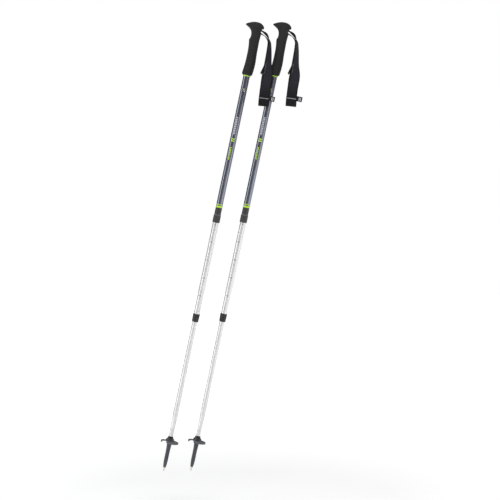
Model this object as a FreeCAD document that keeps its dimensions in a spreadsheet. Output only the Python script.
"""A pair of three-section telescopic trekking poles with twist locks.

Each pole is drawn along its own +Z axis, with its hard tip at height 0, the grip's beak towards -X and the
wrist strap towards +X. A placement then leans it and stands it on the ground. Lengths are in millimetres.
"""

import FreeCAD, Part
import math
import os

import Sketcher

os.makedirs("parts", exist_ok=True)
doc = FreeCAD.newDocument("TrekkingPoles")
V = FreeCAD.Vector
UPRIGHT = V(0, 0, 1)


# ---------------------------------------------------------------- sizes

class Size:
    """A number together with the spreadsheet formula that gives it."""

    def __init__(self, value, formula=None):
        self.value = float(value)
        self.formula = formula or repr(float(value))

    def _with(self, other, sign, value):
        return Size(value, f"({self.formula} {sign} {other.formula})")

    def __add__(self, other):
        other = as_size(other)
        return self._with(other, "+", self.value + other.value)

    def __sub__(self, other):
        other = as_size(other)
        return self._with(other, "-", self.value - other.value)

    def __mul__(self, other):
        other = as_size(other)
        return self._with(other, "*", self.value * other.value)

    def __truediv__(self, other):
        other = as_size(other)
        return self._with(other, "/", self.value / other.value)

    def __neg__(self):
        return Size(-self.value, f"(0 - {self.formula})")


def as_size(number):
    return number if isinstance(number, Size) else Size(number)


# Every driving dimension: its name in the sheet, its number and what it is.
DIMENSIONS = [
    ("PoleLean", 11.92, "lean of both poles towards +X, degrees"),
    ("FirstTipX", -186.0, "ground position of the left pole's tip"),
    ("PoleSpacing", 74.3, "distance between the two tips along X"),
    ("PoleDepth", 6.0, "how far the right pole stands behind the left"),
    ("TubeWall", 0.6, "wall of all three tubes"),
    ("UpperTubeWidth", 18.0, "outside diameter"),
    ("MiddleTubeWidth", 16.0, "outside diameter"),
    ("LowerTubeWidth", 14.0, "outside diameter"),
    ("LowerTubeFootWidth", 11.0, "outside diameter of the swaged foot"),
    ("LowerTubeEndWidth", 9.0, "outside diameter at the end inside the flex tip"),
    ("UpperTubeFoot", 698.5, "height of the upper tube's mouth"),
    ("UpperTubeTop", 1212.0, "height of the upper tube's top"),
    ("MiddleTubeFoot", 421.5, "height of the middle tube's mouth"),
    ("MiddleTubeTop", 832.0, "height of the middle tube's top"),
    ("LowerTubeFoot", 62.0, "height of the lower tube's end in the flex tip"),
    ("LowerTubeTop", 452.0, "height of the lower tube's top"),
    ("SwageBottom", 118.0, "where the swaged foot ends"),
    ("SwageTop", 158.0, "where the tube reaches its full width"),
    ("GuideGap", 0.1, "running clearance of a guided tube or expander"),
    ("UpperCollarWidth", 20.0, "outside diameter"),
    ("UpperCollarFoot", 696.0, "height of its lower face"),
    ("UpperCollarTop", 719.0, "height of its upper face"),
    ("LowerCollarWidth", 19.2, "outside diameter at the top"),
    ("LowerCollarFootWidth", 17.6, "outside diameter at the bottom"),
    ("LowerCollarFoot", 419.0, "height of its lower face"),
    ("LowerCollarTop", 441.5, "height of its upper face"),
    ("CollarRound", 1.5, "rounding of a collar's lower edge"),
    ("CollarFlutes", 20, "grip flutes round a collar"),
    ("FluteWidth", 1.7, "diameter of the cutter that makes a flute"),
    ("FluteDepth", 0.35, "depth of a flute"),
    ("SpindleWidth", 6.0, "outside diameter of the threaded spindle"),
    ("SpindlePlugDepth", 15.0, "length of the spindle plug inside its tube"),
    ("PlugFlange", 3.0, "thickness of the spindle plug's flange"),
    ("ExpanderLength", 30.0, "length of an expander"),
    ("ExpanderRise", 8.0, "gap from the flange to the expander"),
    ("ExpanderSlot", 1.8, "width of an expander's slots"),
    ("TaperDepth", 12.0, "depth of the taper inside an expander"),
    ("NutLength", 9.0, "length of the cone nut"),
    ("StopNutHeight", 3.2, "thickness of the stop nut"),
    ("FlexTipFoot", 10.5, "height of the flex tip's nose"),
    ("FlexTipTop", 94.0, "height of the flex tip's top"),
    ("TipLandWidth", 11.0, "diameter of the land that takes a rubber foot"),
    ("TipLandFoot", 28.0, "lower end of that land"),
    ("TipLandTop", 48.0, "upper end of that land"),
    ("BasketSeatWidth", 13.0, "diameter of the flex tip inside the basket"),
    ("BasketWidth", 48.6, "outside diameter of the basket's rim"),
    ("BasketRimFoot", 79.5, "height of the rim's lower face"),
    ("BasketRimTop", 83.5, "height of the rim's upper face"),
    ("BasketHubTop", 86.2, "height of the basket's hub"),
    ("BasketCut", 12.4, "where the basket is cut away on the hook's side"),
    ("CornerCutX", -24.0, "corner of the slanting cut beside the hook"),
    ("CornerCutY", -13.0, "corner of the slanting cut beside the hook"),
    ("CornerCutTurn", -52.0, "direction of the slanting cut, degrees"),
    ("HookReach", 11.2, "radius of the hook's curve"),
    ("HookThickness", 3.8, "thickness of the hook's arm"),
    ("HookCentreX", -11.0, "centre of the hook's curve"),
    ("HookCentreY", 3.5, "centre of the hook's curve"),
    ("HookTipY", -9.0, "end of the hook's arm"),
    ("TipCollarFoot", 86.6, "height of the black tip collar's foot"),
    ("TipCollarTop", 98.0, "height of its top"),
    ("TipCollarWidth", 23.2, "its widest diameter"),
    ("GripRingFoot", 1101.5, "height of the lime ring's foot"),
    ("GripFoot", 1106.5, "height where the foam begins"),
    ("GripRingFootWidth", 19.6, "ring's lower diameter"),
    ("GripRingTopWidth", 23.2, "ring's upper diameter"),
    ("PinHeight", 1230.5, "height of the strap pin"),
    ("PinOffset", 8.0, "distance of the strap pin behind the pole's axis"),
    ("PinWidth", 5.0, "diameter of the strap pin"),
    ("PinLength", 28.4, "length of the strap pin"),
    ("InsertFoot", 1185.0, "lower end of the head insert"),
    ("InsertTop", 1237.5, "upper end of the head insert"),
    ("InsertWidth", 26.4, "diameter of the insert's block"),
    ("InsertFront", -6.0, "front flat of the insert's block"),
    ("InsertBack", 12.4, "back flat of the insert's block"),
    ("ChannelWidth", 18.8, "width of the strap channel"),
    ("ChannelFoot", 1221.0, "lower face of the strap channel"),
    ("ChannelTop", 1236.4, "upper face of the strap channel"),
    ("ChannelFront", 3.0, "closed end of the strap channel"),
    ("PinSocketWidth", 2.2, "diameter of the socket in each end of the pin"),
    ("PinSocketDepth", 1.0, "depth of that socket"),
    ("StrapThickness", 1.8, "thickness of the webbing"),
    ("StrapHeadWidth", 18.0, "width of the webbing in the grip"),
    ("StrapPinGap", 0.25, "gap between the strap's eye and the pin"),
    ("TailWidth", 16.0, "width of the strap's free end"),
    ("TailThickness", 1.6, "thickness of the strap's free end"),
    ("TagX", 63.0, "edge of the tag that is sewn behind the strap"),
    ("TagY", -27.1, "the tag's front face"),
    ("TagFoot", 1042.2, "height of the tag's lower edge"),
    ("TagLength", 25.0, "length of the tag, across the strap"),
    ("TagThickness", 1.0, "thickness of the tag"),
    ("TagHeight", 14.0, "height of the tag"),
]

sheet = doc.addObject("Spreadsheet::Sheet", "Sizes")


class Sizes:
    """The sheet's dimensions, each read as sizes.Name."""

    def __init__(self, rows):
        for number, (name, value, meaning) in enumerate(rows, start=1):
            sheet.set(f"A{number}", meaning)
            sheet.set(f"B{number}", str(value))
            sheet.setAlias(f"B{number}", name)
            setattr(self, name, Size(value, f"Sizes.{name}"))


sizes = Sizes(DIMENSIONS)
doc.recompute()

# The front and back outline of the grip, and half its depth, at rising heights.
GRIP_SECTIONS = [
    (1106.5, -13.0, 12.6, 12.6),
    (1110.0, -14.4, 14.4, 13.8),
    (1118.0, -13.6, 15.4, 14.1),
    (1132.0, -12.0, 16.4, 13.8),
    (1148.0, -11.3, 16.3, 13.4),
    (1164.0, -11.1, 14.9, 13.0),
    (1180.0, -11.4, 14.7, 13.0),
    (1194.0, -13.2, 14.4, 13.3),
    (1201.5, -14.1, 14.2, 13.8),
    (1207.0, -12.0, 14.5, 14.4),
    (1216.0, -11.4, 15.1, 15.4),
    (1224.0, -13.2, 15.9, 16.4),
    (1230.0, -17.2, 17.2, 17.0),
    (1235.0, -24.0, 18.8, 17.0),
    (1240.0, -30.6, 19.7, 16.4),
    (1244.5, -25.0, 17.4, 14.6),
    (1248.0, -18.8, 13.4, 11.5),
    (1250.4, -11.8, 8.6, 7.4),
    (1251.5, -4.5, 3.0, 2.6),
]

# The hanging strap's centre line: height, X, Y, quarter-turn twist in degrees, width of the webbing and half
# the distance between the loop's front and back layers.
STRAP_STATIONS = [
    (1206.0, 40.6, 0.0, 0.0, 18.2, 1.2),
    (1195.0, 43.0, -1.5, 6.0, 19.4, 1.2),
    (1179.5, 45.3, -5.0, 15.0, 21.4, 1.2),
    (1163.5, 47.4, -9.5, 24.0, 23.4, 1.2),
    (1147.5, 49.4, -14.0, 33.0, 25.4, 1.3),
    (1134.0, 51.6, -17.5, 45.0, 27.0, 1.9),
    (1121.5, 54.0, -20.0, 58.0, 28.2, 3.0),
    (1108.5, 55.0, -21.0, 72.0, 28.5, 4.4),
    (1096.0, 55.5, -21.5, 83.0, 28.5, 5.6),
    (1081.0, 56.2, -21.5, 90.0, 28.5, 6.8),
    (1066.0, 57.2, -21.5, 90.0, 28.5, 7.4),
    (1050.0, 58.8, -21.5, 90.0, 28.5, 7.2),
    (1034.0, 60.6, -21.5, 90.0, 28.5, 6.0),
]
# The fold at the loop's foot: the centre line's lowest point, how far it drops there and its X.
STRAP_FOLD_HEIGHT = 1028.0
STRAP_FOLD_DROP = 6.0
STRAP_FOLD_X = 61.4

# The strap's free end: height, X, Y and twist in degrees.
TAIL_STATIONS = [
    (1147.0, 46.2, -12.0, 33.0),
    (1135.0, 43.6, -13.2, 28.0),
    (1124.0, 40.3, -14.0, 20.0),
    (1114.0, 36.9, -14.6, 14.0),
]

# Centre lines of the two layers between the pin and the hanging strap: X and height.
STRAP_UPPER_RUN = [(17.0, 1230.0), (25.0, 1226.4), (30.5, 1222.2), (35.2, 1216.8), (39.0, 1211.6)]
STRAP_LOWER_RUN = [(15.5, 1222.6), (22.0, 1219.6), (28.5, 1216.0), (33.6, 1211.8)]


# ---------------------------------------------------------------- helpers

def origin_feature(body, role):
    """The body's own origin plane or axis with this role."""
    return next(item for item in body.Origin.OriginFeatures if item.Role == role)


def new_body(label):
    body = doc.addObject("PartDesign::Body", label)
    body.Label = label
    return body


def bind(item, path, size):
    """Bind one property to the sheet, and set it at once as well."""
    item.setExpression(path, as_size(size).formula)


def turned(body, outline):
    """Revolve a closed outline of (radius, height) corners about the body's Z axis."""
    sketch = body.newObject("Sketcher::SketchObject", f"{body.Label}_outline")
    sketch.AttachmentSupport = [(origin_feature(body, "XZ_Plane"), "")]
    sketch.MapMode = "FlatFace"
    corners = [(as_size(radius), as_size(height)) for radius, height in outline]
    count = len(corners)
    for number, (radius, height) in enumerate(corners):
        after_radius, after_height = corners[(number + 1) % count]
        start = V(radius.value, height.value, 0)
        end = V(after_radius.value, after_height.value, 0)
        sketch.addGeometry(Part.LineSegment(start, end), False)
    for number in range(count):
        sketch.addConstraint(Sketcher.Constraint("Coincident", number, 2, (number + 1) % count, 1))
    for number, corner in enumerate(corners):
        for kind, size, axis in (("DistanceX", corner[0], -2), ("DistanceY", corner[1], -1)):
            if size.value == 0:
                sketch.addConstraint(Sketcher.Constraint("PointOnObject", number, 1, axis))
                continue
            made = sketch.addConstraint(Sketcher.Constraint(kind, -1, 1, number, 1, size.value))
            sketch.setExpression(f"Constraints[{made}]", size.formula)
    revolution = body.newObject("PartDesign::Revolution", f"{body.Label}_turned")
    revolution.Profile = sketch
    revolution.ReferenceAxis = (sketch, ["V_Axis"])
    revolution.Angle = 360
    return revolution


def around(body, feature, count):
    """Repeat a feature evenly about the body's axis."""
    pattern = body.newObject("PartDesign::PolarPattern", f"{feature.Name}_pattern")
    pattern.Originals = [feature]
    pattern.Axis = (origin_feature(body, "Z_Axis"), [""])
    pattern.Angle = 360
    pattern.Occurrences = int(count)
    body.Tip = pattern
    return pattern


def box(name, corner, spans, body=None, cuts=False):
    """A box with one corner and three spans bound to the sheet, free or as a feature of a body."""
    if body:
        kind = "PartDesign::SubtractiveBox" if cuts else "PartDesign::AdditiveBox"
        item = body.newObject(kind, name)
    else:
        item = doc.addObject("Part::Box", name)
    for path, size in zip(("Length", "Width", "Height"), spans):
        bind(item, path, size)
    for path, size in zip("xyz", corner):
        bind(item, f"Placement.Base.{path}", size)
    return item


def cylinder(name, radius, foot, top, centre=(0, 0), angle=None):
    """An upright cylinder, or a sector of one, between two heights."""
    item = doc.addObject("Part::Cylinder", name)
    bind(item, "Radius", radius)
    bind(item, "Height", as_size(top) - foot)
    if angle:
        item.Angle = angle
    for path, size in zip("xyz", (*centre, foot)):
        bind(item, f"Placement.Base.{path}", size)
    return item


def cross_cylinder(name, radius, length, centre_x, height):
    """A cylinder along Y, centred on the plane Y = 0."""
    item = doc.addObject("Part::Cylinder", name)
    bind(item, "Radius", radius)
    bind(item, "Height", length)
    item.Placement = FreeCAD.Placement(V(0, 0, 0), FreeCAD.Rotation(V(1, 0, 0), -90))
    bind(item, "Placement.Base.x", centre_x)
    bind(item, "Placement.Base.y", -(as_size(length) / 2))
    bind(item, "Placement.Base.z", height)
    return item


def cut(name, base, tool):
    item = doc.addObject("Part::Cut", name)
    item.Base = base
    item.Tool = tool
    return item


def fuse(name, pieces):
    item = doc.addObject("Part::MultiFuse", name)
    item.Shapes = pieces
    return item


def common(name, pieces):
    item = doc.addObject("Part::MultiCommon", name)
    item.Shapes = pieces
    return item


def shaped(label, shape):
    item = doc.addObject("Part::Feature", label)
    item.Shape = shape
    return item


# ---------------------------------------------------------------- tubes and collars

def make_upper_tube(name):
    body = new_body(name)
    outer = sizes.UpperTubeWidth / 2
    inner = outer - sizes.TubeWall
    foot, top = sizes.UpperTubeFoot, sizes.UpperTubeTop
    turned(body, [(inner, foot), (outer, foot), (outer, top), (inner, top)])
    return body


def make_middle_tube(name):
    body = new_body(name)
    outer = sizes.MiddleTubeWidth / 2
    inner = outer - sizes.TubeWall
    foot, top = sizes.MiddleTubeFoot, sizes.MiddleTubeTop
    turned(body, [(inner, foot), (outer, foot), (outer, top), (inner, top)])
    return body


def swaged_radius(height):
    """Outside radius of the lower tube's tapered end at a height inside the flex tip."""
    end, foot = sizes.LowerTubeEndWidth / 2, sizes.LowerTubeFootWidth / 2
    share = (as_size(height) - sizes.LowerTubeFoot) / (sizes.TipCollarTop - sizes.LowerTubeFoot)
    return end + (foot - end) * share


def make_lower_tube(name):
    """A tube swaged down in two cones: the lower one sits in the flex tip."""
    body = new_body(name)
    wall = sizes.TubeWall
    outside = [
        (sizes.LowerTubeEndWidth / 2, sizes.LowerTubeFoot),
        (sizes.LowerTubeFootWidth / 2, sizes.TipCollarTop),
        (sizes.LowerTubeFootWidth / 2, sizes.SwageBottom),
        (sizes.LowerTubeWidth / 2, sizes.SwageTop),
        (sizes.LowerTubeWidth / 2, sizes.LowerTubeTop),
    ]
    inside = [(radius - wall, height) for radius, height in reversed(outside)]
    turned(body, outside + inside)
    return body


def rounded_foot(radius, foot):
    """Three corners that round a collar's lower outer edge."""
    round_off = sizes.CollarRound
    middle = round_off * (1 - math.sqrt(0.5))
    return [
        (radius - round_off, foot),
        (radius - middle, foot + middle),
        (radius, foot + round_off),
    ]


def flute_collar(body, radius, foot, top):
    """Cut shallow upright flutes round a collar, between two heights."""
    cutter = body.newObject("PartDesign::SubtractiveCylinder", f"{body.Label}_flute")
    bind(cutter, "Radius", sizes.FluteWidth / 2)
    bind(cutter, "Height", as_size(top) - foot)
    bind(cutter, "Placement.Base.x", radius + sizes.FluteWidth / 2 - sizes.FluteDepth)
    bind(cutter, "Placement.Base.z", foot)
    doc.recompute()
    around(body, cutter, sizes.CollarFlutes.value)


def make_upper_collar(name):
    """A cap on the upper tube's mouth, whose lip guides the middle tube."""
    body = new_body(name)
    outer = sizes.UpperCollarWidth / 2
    seat = sizes.UpperTubeWidth / 2
    lip = sizes.MiddleTubeWidth / 2 + sizes.GuideGap
    foot, top = sizes.UpperCollarFoot, sizes.UpperCollarTop
    shoulder = sizes.UpperTubeFoot
    turned(body, [
        (lip, foot),
        *rounded_foot(outer, foot),
        (outer, top - 3.0),
        (outer - 0.9, top),
        (seat, top),
        (seat, shoulder),
        (lip, shoulder),
    ])
    flute_collar(body, outer, foot + sizes.CollarRound + 0.6, top - 4.4)
    return body


def make_lower_collar(name):
    """A slightly conical cap on the middle tube's mouth."""
    body = new_body(name)
    outer = sizes.LowerCollarWidth / 2
    narrow = sizes.LowerCollarFootWidth / 2
    seat = sizes.MiddleTubeWidth / 2
    lip = sizes.LowerTubeWidth / 2 + sizes.GuideGap
    foot, top = sizes.LowerCollarFoot, sizes.LowerCollarTop
    shoulder = sizes.MiddleTubeFoot
    turned(body, [
        (lip, foot),
        *rounded_foot(narrow, foot),
        (outer - 0.2, top - 6.0),
        (outer, top - 0.8),
        (outer - 0.7, top),
        (seat, top),
        (seat, shoulder),
        (lip, shoulder),
    ])
    flute_collar(body, outer - 0.2, foot + sizes.CollarRound + 2.0, top - 2.4)
    return body


# ---------------------------------------------------------------- twist locks

def lock_heights(tube_top):
    """Heights of the expander's foot and top above a tube's top end."""
    expander_foot = tube_top + sizes.PlugFlange + sizes.ExpanderRise
    return expander_foot, expander_foot + sizes.ExpanderLength


def make_spindle_plug(name, tube_width, tube_top):
    """A moulded plug pressed into a tube's top, with a flange on the tube's rim."""
    body = new_body(name)
    bore = sizes.SpindleWidth / 2
    fit = tube_width / 2 - sizes.TubeWall
    rim = tube_width / 2 - 0.2
    flange_top = tube_top + sizes.PlugFlange
    turned(body, [
        (bore, tube_top - sizes.SpindlePlugDepth),
        (fit - 0.6, tube_top - sizes.SpindlePlugDepth),
        (fit, tube_top - sizes.SpindlePlugDepth + 1.5),
        (fit, tube_top),
        (rim, tube_top),
        (rim, flange_top),
        (bore, flange_top),
    ])
    return body


def make_spindle(name, tube_top):
    """The threaded rod that the cone nut climbs, drawn at its thread's outside diameter."""
    body = new_body(name)
    radius = sizes.SpindleWidth / 2
    foot = tube_top - sizes.SpindlePlugDepth + 3.0
    top = lock_heights(tube_top)[1] + sizes.StopNutHeight + 1.6
    turned(body, [(0, foot), (radius, foot), (radius, top - 0.8), (radius - 0.8, top), (0, top)])
    return body


def make_stop_nut(name, tube_top):
    """A hexagon nut at the spindle's end that keeps the expander on."""
    foot = lock_heights(tube_top)[1] + 0.4
    hexagon = doc.addObject("Part::Prism", f"{name}_hexagon")
    hexagon.Polygon = 6
    bind(hexagon, "Circumradius", sizes.SpindleWidth / 2 + 2.3)
    bind(hexagon, "Height", sizes.StopNutHeight)
    bind(hexagon, "Placement.Base.z", foot)
    bore = cylinder(f"{name}_bore", sizes.SpindleWidth / 2, foot - 1, foot + sizes.StopNutHeight + 1)
    return cut(name, hexagon, bore)


def make_expander(name, guide_width, tube_top):
    """A slotted sleeve that grips the tube around it once the cone nut is drawn into its taper."""
    body = new_body(name)
    outer = guide_width / 2 - sizes.TubeWall - sizes.GuideGap
    bore = sizes.SpindleWidth / 2 + 0.3
    foot, top = lock_heights(tube_top)
    mouth = outer - 1.4
    throat = outer - 2.9
    turned(body, [
        (mouth, foot),
        (outer - 0.5, foot),
        (outer, foot + 0.8),
        (outer, top - 2.0),
        (outer - 1.0, top),
        (bore, top),
        (bore, foot + sizes.TaperDepth + 3.0),
        (throat, foot + sizes.TaperDepth),
    ])
    slot = box(
        f"{name}_slot",
        (0, -(sizes.ExpanderSlot / 2), foot - 1),
        (outer + 2, sizes.ExpanderSlot, sizes.ExpanderLength - 7),
        body,
        cuts=True,
    )
    doc.recompute()
    around(body, slot, 4)
    return body


def make_cone_nut(name, guide_width, tube_top):
    """The wedge on the spindle, keyed in the expander's slots so that it cannot turn with the spindle."""
    body = new_body(name)
    outer = guide_width / 2 - sizes.TubeWall - sizes.GuideGap
    bore = sizes.SpindleWidth / 2 + 0.05
    foot = lock_heights(tube_top)[0] - 2.0
    top = foot + sizes.NutLength
    slope = 1.5 / sizes.TaperDepth.value
    wide = outer - 1.4 - 0.3
    turned(body, [
        (bore, foot),
        (wide, foot),
        (wide, foot + 2.0),
        (wide - (sizes.NutLength - 2.0) * slope, top),
        (bore, top),
    ])
    key = box(
        f"{name}_key",
        (wide - 1.2, -(sizes.ExpanderSlot / 2 - 0.3), foot),
        (1.9, sizes.ExpanderSlot - 0.6, sizes.NutLength - 1.0),
        body,
    )
    doc.recompute()
    around(body, key, 4)
    return body


# ---------------------------------------------------------------- tip and basket

def make_flex_tip(name):
    """The plastic tip: a nose for the metal tip, a land for a rubber foot and a seat for the basket."""
    body = new_body(name)
    foot, top = sizes.FlexTipFoot, sizes.FlexTipTop
    seat = sizes.BasketSeatWidth / 2
    land = sizes.TipLandWidth / 2
    turned(body, [
        (2.6, foot),
        (3.3, foot),
        (3.9, foot + 1.6),
        (4.9, foot + 9.5),
        (land, sizes.TipLandFoot),
        (land, sizes.TipLandTop),
        (land + 0.2, sizes.TipLandTop + 12.0),
        (seat - 0.2, sizes.TipLandTop + 22.0),
        (seat, sizes.TipLandTop + 26.0),
        (seat, top),
        (swaged_radius(top), top),
        (swaged_radius(sizes.LowerTubeFoot), sizes.LowerTubeFoot),
        (3.4, sizes.LowerTubeFoot),
        (3.4, 24.0),
        (2.6, 24.0),
    ])
    return body


def make_tip_sleeve(name):
    """The light metal holder of the hard insert."""
    body = new_body(name)
    turned(body, [(1.6, 3.8), (2.2, 3.8), (3.2, 8.2), (3.2, 10.5), (2.6, 10.5), (2.6, 24.0), (1.6, 24.0)])
    return body


def make_carbide_tip(name):
    """The hard-metal insert, with a hollow-ground crown at its foot."""
    body = new_body(name)
    turned(body, [(0, 0.8), (0.7, 0.0), (1.2, 0.4), (1.6, 2.4), (1.6, 12.0), (0, 12.0)])
    return body


def make_tip_collar(name):
    """The stepped cone above the basket, which the basket is screwed up against."""
    body = new_body(name)
    foot, top = sizes.TipCollarFoot, sizes.TipCollarTop
    wide = sizes.TipCollarWidth / 2
    turned(body, [
        (sizes.BasketSeatWidth / 2, foot),
        (wide - 0.3, foot),
        (wide, foot + 1.2),
        (wide - 1.0, foot + 3.9),
        (wide - 2.2, foot + 4.8),
        (wide - 3.5, foot + 5.0),
        (wide - 3.3, foot + 6.0),
        (wide - 4.8, foot + 10.0),
        (wide - 5.4, top),
        (swaged_radius(top), top),
        (swaged_radius(sizes.FlexTipTop), sizes.FlexTipTop),
        (sizes.BasketSeatWidth / 2, sizes.FlexTipTop),
    ])
    return body


def make_basket(name):
    """A dished basket, cut away on one side, where a hooked arm clips onto the other pole's shaft."""
    rim = sizes.BasketWidth / 2
    foot, top = sizes.BasketRimFoot, sizes.BasketRimTop
    bore = sizes.BasketSeatWidth / 2 + sizes.GuideGap
    dish = new_body(f"{name}_dish")
    turned(dish, [
        (bore, foot - 2.0),
        (bore + 2.7, foot - 2.0),
        (bore + 2.7, foot + 2.8),
        (13.0, foot + 3.7),
        (rim - 2.7, foot + 1.1),
        (rim - 2.4, foot),
        (rim, foot),
        (rim, top - 0.6),
        (rim - 0.6, top),
        (rim - 2.0, top),
        (13.6, top + 1.9),
        (10.5, sizes.BasketHubTop),
        (bore, sizes.BasketHubTop),
    ])
    side_cut = box(
        f"{name}_side_cut",
        (-rim - 2, -rim - 2, foot - 5),
        (rim + 2 - sizes.BasketCut, rim * 2 + 4, 20),
    )
    corner_cut = box(f"{name}_corner_cut", (sizes.CornerCutX, sizes.CornerCutY, foot - 5), (30, 14, 20))
    corner_cut.Placement.Rotation = FreeCAD.Rotation(UPRIGHT, sizes.CornerCutTurn.value)
    trimmed = cut(f"{name}_trimmed", dish, fuse(f"{name}_cuts", [side_cut, corner_cut]))

    arm_foot, arm_top = foot + 0.3, top - 0.3
    centre = (sizes.HookCentreX, sizes.HookCentreY)
    outer = sizes.HookReach + sizes.HookThickness / 2
    inner = sizes.HookReach - sizes.HookThickness / 2
    sector = cylinder(f"{name}_hook_outer", outer, arm_foot, arm_top, centre, angle=90)
    hollow = cylinder(f"{name}_hook_inner", inner, arm_foot - 1, arm_top + 1, centre)
    sector.Placement.Rotation = FreeCAD.Rotation(UPRIGHT, 90)
    bend = cut(f"{name}_hook_bend", sector, hollow)
    height = arm_top - arm_foot
    arm = box(
        f"{name}_hook_arm",
        (sizes.HookCentreX - outer, sizes.HookTipY, arm_foot),
        (sizes.HookThickness, sizes.HookCentreY - sizes.HookTipY, height),
    )
    root = box(
        f"{name}_hook_root",
        (sizes.HookCentreX, sizes.HookCentreY + inner, arm_foot),
        (3.4, sizes.HookThickness, height),
    )
    nub_centre = (sizes.HookCentreX - sizes.HookReach, sizes.HookTipY)
    nub = cylinder(f"{name}_hook_nub", sizes.HookThickness / 2 + 0.3, arm_foot, arm_top, nub_centre)
    return fuse(name, [trimmed, bend, arm, root, nub])


# ---------------------------------------------------------------- grip

def grip_section(height, front, back, half_depth):
    """An elliptical section of the grip, as a wire made from a stretched circle."""
    circle = Part.Circle(V(0, 0, 0), UPRIGHT, 1.0).toShape()
    stretch = FreeCAD.Matrix()
    stretch.A11 = (back - front) / 2
    stretch.A22 = half_depth
    stretch.A14 = (back + front) / 2
    stretch.A34 = height
    return Part.Wire(circle.transformGeometry(stretch))


def insert_block(name, foot):
    """The block of the head insert: a round with flats at the front and the back."""
    centre_x = 0.3
    drum = cylinder(f"{name}_drum", sizes.InsertWidth / 2, foot, sizes.InsertTop, (centre_x, 0))
    flats = box(
        f"{name}_flats",
        (sizes.InsertFront, -20, foot),
        (sizes.InsertBack - sizes.InsertFront, 40, sizes.InsertTop - foot),
    )
    return common(name, [drum, flats])


def strap_channel(name, back):
    """The space that the strap fills, open towards the back."""
    return box(
        name,
        (sizes.ChannelFront, -(sizes.ChannelWidth / 2), sizes.ChannelFoot),
        (back - sizes.ChannelFront, sizes.ChannelWidth, sizes.ChannelTop - sizes.ChannelFoot),
    )


def make_head_insert(name):
    block_foot = sizes.UpperTubeTop + 4
    spigot_radius = sizes.UpperTubeWidth / 2 - sizes.TubeWall
    spigot = cylinder(f"{name}_spigot", spigot_radius, sizes.InsertFoot, sizes.UpperTubeTop)
    neck = cylinder(f"{name}_neck", sizes.UpperTubeWidth / 2, sizes.UpperTubeTop, block_foot)
    solid = fuse(f"{name}_solid", [spigot, neck, insert_block(f"{name}_block", block_foot)])
    pin_hole = cross_cylinder(f"{name}_pin_hole", sizes.PinWidth / 2, 40, sizes.PinOffset, sizes.PinHeight)
    hollow = fuse(f"{name}_hollow", [strap_channel(f"{name}_channel", sizes.InsertBack + 2), pin_hole])
    return cut(name, solid, hollow)


def make_grip_foam(name):
    """The foam grip around the tube's top and the head insert."""
    sections = [grip_section(*row) for row in GRIP_SECTIONS]
    outer = shaped(f"{name}_outer", Part.makeLoft(sections, True, True))
    block_foot = sizes.UpperTubeTop + 4
    bore = cylinder(f"{name}_bore", sizes.UpperTubeWidth / 2, sizes.GripFoot - 5, block_foot)
    pin_hole = cross_cylinder(f"{name}_pin_hole", sizes.PinWidth / 2, 40, sizes.PinOffset, sizes.PinHeight)
    hollow = fuse(f"{name}_hollow", [
        bore,
        insert_block(f"{name}_pocket", block_foot),
        strap_channel(f"{name}_mouth", as_size(24)),
        pin_hole,
    ])
    return cut(name, outer, hollow)


def make_grip_ring(name):
    body = new_body(name)
    bore = sizes.UpperTubeWidth / 2
    turned(body, [
        (bore, sizes.GripRingFoot),
        (sizes.GripRingFootWidth / 2 - 0.4, sizes.GripRingFoot),
        (sizes.GripRingFootWidth / 2, sizes.GripRingFoot + 0.5),
        (sizes.GripRingTopWidth / 2, sizes.GripFoot),
        (bore, sizes.GripFoot),
    ])
    return body


def make_strap_pin(name):
    """The cross pin, with a small socket sunk into each end."""
    place = (sizes.PinOffset, sizes.PinHeight)
    socket_radius = sizes.PinSocketWidth / 2
    rod = cross_cylinder(f"{name}_rod", sizes.PinWidth / 2, sizes.PinLength, *place)
    drill = cross_cylinder(f"{name}_drill", socket_radius, sizes.PinLength + 10, *place)
    core = cross_cylinder(f"{name}_core", socket_radius, sizes.PinLength - sizes.PinSocketDepth * 2, *place)
    return cut(name, rod, cut(f"{name}_sockets", drill, core))


# ---------------------------------------------------------------- wrist strap

def strap_frame(twist):
    """Directions of the webbing's width and of its outer face at a twist about the vertical."""
    turn = math.radians(twist)
    width = V(math.sin(turn), math.cos(turn), 0)
    outward = V(math.cos(turn), -math.sin(turn), 0)
    return width, outward


def band_section(centre, width_way, thickness_way, width, thickness):
    """A rectangular cross-section of webbing."""
    across = width_way * (width / 2)
    through = thickness_way * (thickness / 2)
    corners = [centre + across + through, centre - across + through,
               centre - across - through, centre + across - through]
    return Part.makePolygon([*corners, corners[0]])


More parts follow.
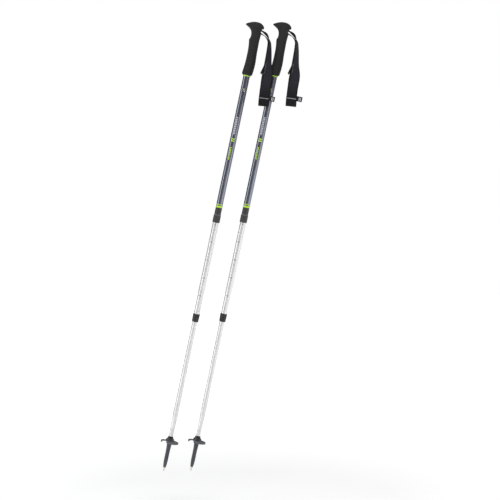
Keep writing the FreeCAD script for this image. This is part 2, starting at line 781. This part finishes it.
def strap_path():
    """Stations round the whole loop: centre, direction of the width and width of the webbing."""
    sideways = V(0, 1, 0)
    head_width = sizes.StrapHeadWidth.value
    stations = []
    for x, height in STRAP_UPPER_RUN:
        stations.append((V(x, 0, height), sideways, head_width))
    for height, x, y, twist, width, spread in STRAP_STATIONS:
        width_way, outward = strap_frame(twist)
        stations.append((V(x, y, height) + outward * spread, width_way, width))
    _, _, fold_y, _, fold_width, fold_spread = STRAP_STATIONS[-1]
    for degrees in (30, 60, 90, 120, 150):
        turn = math.radians(degrees)
        y = fold_y - fold_spread * math.cos(turn)
        height = STRAP_FOLD_HEIGHT + STRAP_FOLD_DROP * (1 - math.sin(turn))
        stations.append((V(STRAP_FOLD_X, y, height), V(1, 0, 0), fold_width))
    for height, x, y, twist, width, spread in reversed(STRAP_STATIONS):
        width_way, outward = strap_frame(twist)
        stations.append((V(x, y, height) - outward * spread, width_way, width))
    for x, height in reversed(STRAP_LOWER_RUN):
        stations.append((V(x, 0, height), sideways, head_width))
    pin = V(sizes.PinOffset.value, 0, sizes.PinHeight.value)
    radius = sizes.PinWidth.value / 2 + sizes.StrapPinGap.value + sizes.StrapThickness.value / 2
    steps = 10
    exit_angle = -117
    for step in range(steps + 1):
        turn = math.radians(exit_angle - step * 180 / steps)
        stations.append((pin + V(math.cos(turn), 0, math.sin(turn)) * radius, sideways, head_width))
    return stations


def make_wrist_strap(name):
    """The webbing loop as one closed band, built span by span and joined into one solid."""
    stations = strap_path()
    count = len(stations)
    thickness = sizes.StrapThickness.value
    rings = []
    for number, (centre, width_way, width) in enumerate(stations):
        before = stations[number - 1][0]
        after = stations[(number + 1) % count][0]
        along = (after - before).normalize()
        through = along.cross(width_way).normalize()
        flat = through.cross(along).normalize()
        across, depth = flat * (width / 2), through * (thickness / 2)
        rings.append([centre + across + depth, centre - across + depth,
                      centre - across - depth, centre + across - depth])
    faces = []
    for number in range(count):
        near, far = rings[number], rings[(number + 1) % count]
        for corner in range(4):
            following = (corner + 1) % 4
            first = Part.makeLine(near[corner], near[following])
            second = Part.makeLine(far[corner], far[following])
            faces.append(Part.makeRuledSurface(first, second))
    shell = Part.makeShell(faces)
    shell.sewShape()
    solid = Part.makeSolid(shell)
    if solid.Volume < 0:
        solid.reverse()
    return shaped(name, solid)


def make_strap_tail(name):
    """The free end of the webbing, sewn behind the loop and standing a little off it."""
    width, thickness = sizes.TailWidth.value, sizes.TailThickness.value
    sections = []
    for height, x, y, twist in TAIL_STATIONS:
        width_way, outward = strap_frame(twist)
        sections.append(band_section(V(x, y, height), width_way, outward, width, thickness))
    return shaped(name, Part.makeLoft(sections, True, True))


def make_strap_tag(name):
    """A square woven tag, sewn behind the loop's front layer and standing out past its edge."""
    corner = (sizes.TagX, sizes.TagY, sizes.TagFoot)
    spans = (sizes.TagLength, sizes.TagThickness, sizes.TagHeight)
    body = new_body(name)
    box(f"{name}_cloth", corner, spans, body)
    return body


# ---------------------------------------------------------------- assembly

PIECES = [
    ("grip_foam", make_grip_foam),
    ("grip_end_ring", make_grip_ring),
    ("head_insert", make_head_insert),
    ("strap_pin", make_strap_pin),
    ("wrist_strap", make_wrist_strap),
    ("strap_tail", make_strap_tail),
    ("strap_tag", make_strap_tag),
    ("upper_tube", make_upper_tube),
    ("upper_collar", make_upper_collar),
    ("middle_tube", make_middle_tube),
    ("lower_collar", make_lower_collar),
    ("lower_tube", make_lower_tube),
    ("flex_tip", make_flex_tip),
    ("tip_sleeve", make_tip_sleeve),
    ("carbide_tip", make_carbide_tip),
    ("tip_collar", make_tip_collar),
    ("basket", make_basket),
]

# Each twist lock: its name, the tube that carries the spindle, that tube's top and the tube it grips.
LOCKS = [
    ("upper", sizes.MiddleTubeWidth, sizes.MiddleTubeTop, sizes.UpperTubeWidth),
    ("lower", sizes.LowerTubeWidth, sizes.LowerTubeTop, sizes.MiddleTubeWidth),
]

POLES = [
    ("left", sizes.FirstTipX, as_size(0)),
    ("right", sizes.FirstTipX + sizes.PoleSpacing, sizes.PoleDepth),
]


def stand(item, tip_x, tip_y):
    """Lean a finished piece with its pole and set the pole's tip on the ground."""
    item.Placement = FreeCAD.Placement(V(0, 0, 0), FreeCAD.Rotation(V(0, 1, 0), sizes.PoleLean.value))
    bind(item, "Placement.Rotation.Angle", sizes.PoleLean)
    bind(item, "Placement.Base.x", tip_x)
    bind(item, "Placement.Base.y", tip_y)


nodes = []
for side, tip_x, tip_y in POLES:
    made = [make(f"{side}_{piece}") for piece, make in PIECES]
    for lock, carrier_width, carrier_top, guide_width in LOCKS:
        prefix = f"{side}_{lock}"
        made.append(make_spindle_plug(f"{prefix}_spindle_plug", carrier_width, carrier_top))
        made.append(make_spindle(f"{prefix}_spindle", carrier_top))
        made.append(make_stop_nut(f"{prefix}_stop_nut", carrier_top))
        made.append(make_expander(f"{prefix}_expander", guide_width, carrier_top))
        made.append(make_cone_nut(f"{prefix}_cone_nut", guide_width, carrier_top))
    for item in made:
        stand(item, tip_x, tip_y)
    nodes.extend(made)

doc.recompute()

for item in doc.Objects:
    if "Invalid" in item.State or "Error" in item.State:
        raise RuntimeError(f"{item.Label} did not compute: {item.State}")

for node in nodes:
    shape = node.Shape
    if shape.isNull() or not shape.isValid() or shape.Volume <= 0:
        raise RuntimeError(f"{node.Label} has no valid solid")
    shape.exportStep(f"parts/{node.Label}.step")
    print(f"{node.Label}: {len(shape.Solids)} solid, {shape.Volume / 1000:.2f} cm3")
print(len(nodes), "nodes")
